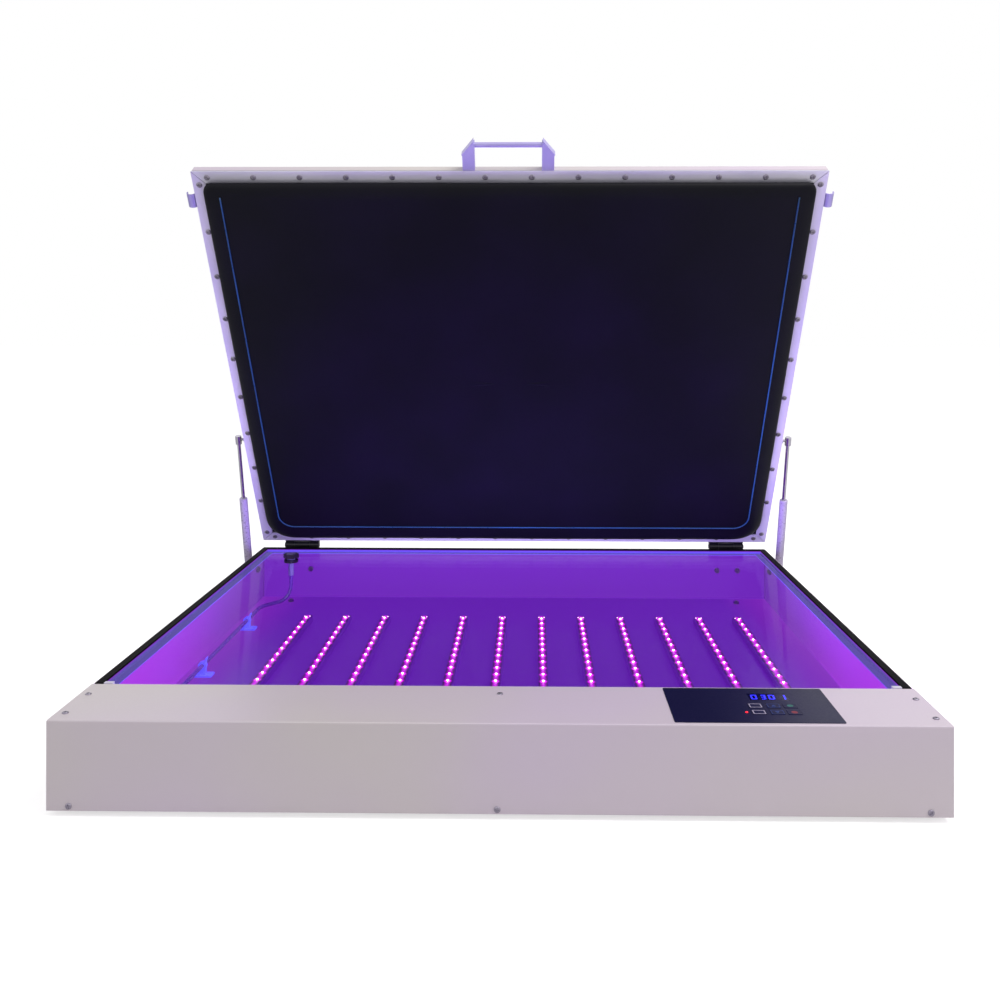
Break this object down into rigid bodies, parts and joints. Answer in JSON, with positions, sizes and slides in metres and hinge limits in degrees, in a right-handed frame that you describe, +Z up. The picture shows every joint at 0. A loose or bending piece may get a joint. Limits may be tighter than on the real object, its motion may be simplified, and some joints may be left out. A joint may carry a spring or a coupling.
{
  "type": "screen printing exposure unit",
  "caption": "Tabletop LED exposure unit with a lit glass bed in a shallow steel base and a hinged vacuum lid with a rubber blanket on gas struts",
  "frame": {"origin": "centre of the object's outline on the surface that its feet stand on, lid open", "axes": "+X to the operator's right, +Y from the control plate towards the hinges, +Z up"},
  "size_m": [1.25, 1.137, 1.0069],
  "materials": {
    "powder_coat": "fine satin powder coat",
    "strip_aluminium": "satin",
    "zinc_steel": "zinc plated",
    "chrome_rod": "polished",
    "black_paint": "satin",
    "silver_lacquer": "silver lacquer",
    "glass": "clear float glass",
    "blanket_rubber": "smooth",
    "seal_rubber": "matt",
    "led_aluminium": "anodised, with a white board",
    "board_green": "solder mask",
    "film_navy": "printed film",
    "display_dark": "tinted",
    "key_navy": "embossed film",
    "lens_red": "translucent",
    "black_plastic": "moulded",
    "white_plastic": "moulded",
    "hose_clear": "clear tube",
    "pump_grey": "cast and painted"
  },
  "bodies": {
    "base": {"base_tray": "powder_coat", "front_cover": "powder_coat", "front_bulkhead": "powder_coat", "glass_frame": "powder_coat", "glass_sheet": "glass", "gasket": "seal_rubber", "corner_blocks": "white_plastic", "feet": "seal_rubber", "led_drivers": "led_aluminium", "vacuum_pump": "pump_grey", "vacuum_hose": "hose_clear", "hose_clips": "white_plastic", "vacuum_port": "black_plastic", "control_board": "board_green", "panel_overlay": "film_navy", "display_window": "display_dark", "indicator_lens": "lens_red", "wiring_loom": "black_plastic", "power_inlet": "black_plastic", "switch_frame": "black_plastic", "base_bolts": "zinc_steel", "cover_screws": "zinc_steel", "hinge_base_leaves": "black_paint", "hinge_pins": "zinc_steel", "strut_base_studs": "zinc_steel", "latch_plates": "zinc_steel", "led_pair_1": "led_aluminium", "led_pair_2": "led_aluminium", "led_pair_3": "led_aluminium", "led_pair_4": "led_aluminium", "led_pair_5": "led_aluminium", "led_pair_6": "led_aluminium"},
    "lid": {"lid_shell": "powder_coat", "blanket": "blanket_rubber", "blanket_bead": "blanket_rubber", "strip_front": "strip_aluminium", "strip_rear": "strip_aluminium", "strip_left": "strip_aluminium", "strip_right": "strip_aluminium", "lid_screws": "zinc_steel", "handle_brackets": "strip_aluminium", "handle_grip": "strip_aluminium", "lid_keepers": "zinc_steel", "hinge_lid_leaves": "black_paint", "strut_lid_studs": "zinc_steel"},
    "rocker": {"power_rocker": "black_plastic"},
    "strut_cylinder_left": {"strut_cylinder_left": "silver_lacquer"},
    "strut_rod_left": {"strut_rod_left": "chrome_rod"},
    "latch_lever_left": {"latch_lever_left": "zinc_steel"},
    "latch_bail_left": {"latch_bail_left": "zinc_steel"},
    "strut_cylinder_right": {"strut_cylinder_right": "silver_lacquer"},
    "strut_rod_right": {"strut_rod_right": "chrome_rod"},
    "latch_lever_right": {"latch_lever_right": "zinc_steel"},
    "latch_bail_right": {"latch_bail_right": "zinc_steel"},
    "key_1": {"key_1": "key_navy"},
    "key_2": {"key_2": "key_navy"},
    "key_3": {"key_3": "key_navy"},
    "key_4": {"key_4": "key_navy"},
    "key_5": {"key_5": "key_navy"},
    "key_6": {"key_6": "key_navy"}
  },
  "joints": [
    {"name": "lid_hinge", "type": "hinge", "parent": "base", "child": "lid", "pos_m": [0, 0.55579, 0.1317], "axis": [1, 0, 0], "range_deg": [0, 56.2], "stiffness_Nm_per_rad": 25, "springref_deg": -137.51, "deforming": ["blanket", "blanket_bead"]},
    {"name": "strut_pivot_left", "type": "hinge", "parent": "base", "child": "strut_cylinder_left", "pos_m": [-0.616, 0.48154, 0.087], "axis": [1, 0, 0], "range_deg": [0, 60.58]},
    {"name": "strut_stroke_left", "type": "slide", "parent": "strut_cylinder_left", "child": "strut_rod_left", "axis": [0, -0.2777, 0.9607], "range_m": [-0.079, 0]},
    {"name": "strut_pivot_right", "type": "hinge", "parent": "base", "child": "strut_cylinder_right", "pos_m": [0.616, 0.48154, 0.087], "axis": [1, 0, 0], "range_deg": [0, 60.58]},
    {"name": "strut_stroke_right", "type": "slide", "parent": "strut_cylinder_right", "child": "strut_rod_right", "axis": [0, -0.2777, 0.9607], "range_m": [-0.079, 0]},
    {"name": "latch_lever_left", "type": "hinge", "parent": "base", "child": "latch_lever_left", "pos_m": [-0.609, -0.36146, 0.09], "axis": [0, -1, 0], "range_deg": [-150, 0]},
    {"name": "latch_bail_left", "type": "hinge", "parent": "latch_lever_left", "child": "latch_bail_left", "pos_m": [-0.60667, -0.36146, 0.08131], "axis": [0, 1, 0], "range_deg": [0, 177.1]},
    {"name": "latch_lever_right", "type": "hinge", "parent": "base", "child": "latch_lever_right", "pos_m": [0.609, -0.36146, 0.09], "axis": [0, 1, 0], "range_deg": [-150, 0]},
    {"name": "latch_bail_right", "type": "hinge", "parent": "latch_lever_right", "child": "latch_bail_right", "pos_m": [0.60667, -0.36146, 0.08131], "axis": [0, -1, 0], "range_deg": [0, 177.1]},
    {"name": "power_rocker", "type": "hinge", "parent": "base", "child": "rocker", "pos_m": [0.594, -0.51446, 0.064], "axis": [0, -1, 0], "range_deg": [0, 18]},
    {"name": "key_1", "type": "slide", "parent": "base", "child": "key_1", "axis": [0, 0, -1], "range_m": [0, 0.0004], "stiffness_N_per_m": 500, "springref_m": -0.001},
    {"name": "key_2", "type": "slide", "parent": "base", "child": "key_2", "axis": [0, 0, -1], "range_m": [0, 0.0004], "stiffness_N_per_m": 500, "springref_m": -0.001},
    {"name": "key_3", "type": "slide", "parent": "base", "child": "key_3", "axis": [0, 0, -1], "range_m": [0, 0.0004], "stiffness_N_per_m": 500, "springref_m": -0.001},
    {"name": "key_4", "type": "slide", "parent": "base", "child": "key_4", "axis": [0, 0, -1], "range_m": [0, 0.0004], "stiffness_N_per_m": 500, "springref_m": -0.001},
    {"name": "key_5", "type": "slide", "parent": "base", "child": "key_5", "axis": [0, 0, -1], "range_m": [0, 0.0004], "stiffness_N_per_m": 500, "springref_m": -0.001},
    {"name": "key_6", "type": "slide", "parent": "base", "child": "key_6", "axis": [0, 0, -1], "range_m": [0, 0.0004], "stiffness_N_per_m": 500, "springref_m": -0.001}
  ],
  "couplings": [
    {"joint": "strut_pivot_left", "follows": "lid_hinge", "ratio": 1.0761},
    {"joint": "strut_stroke_left", "follows": "lid_hinge", "m_per_rad": -0.080336},
    {"joint": "strut_pivot_right", "follows": "lid_hinge", "ratio": 1.0761},
    {"joint": "strut_stroke_right", "follows": "lid_hinge", "m_per_rad": -0.080336}
  ]
}
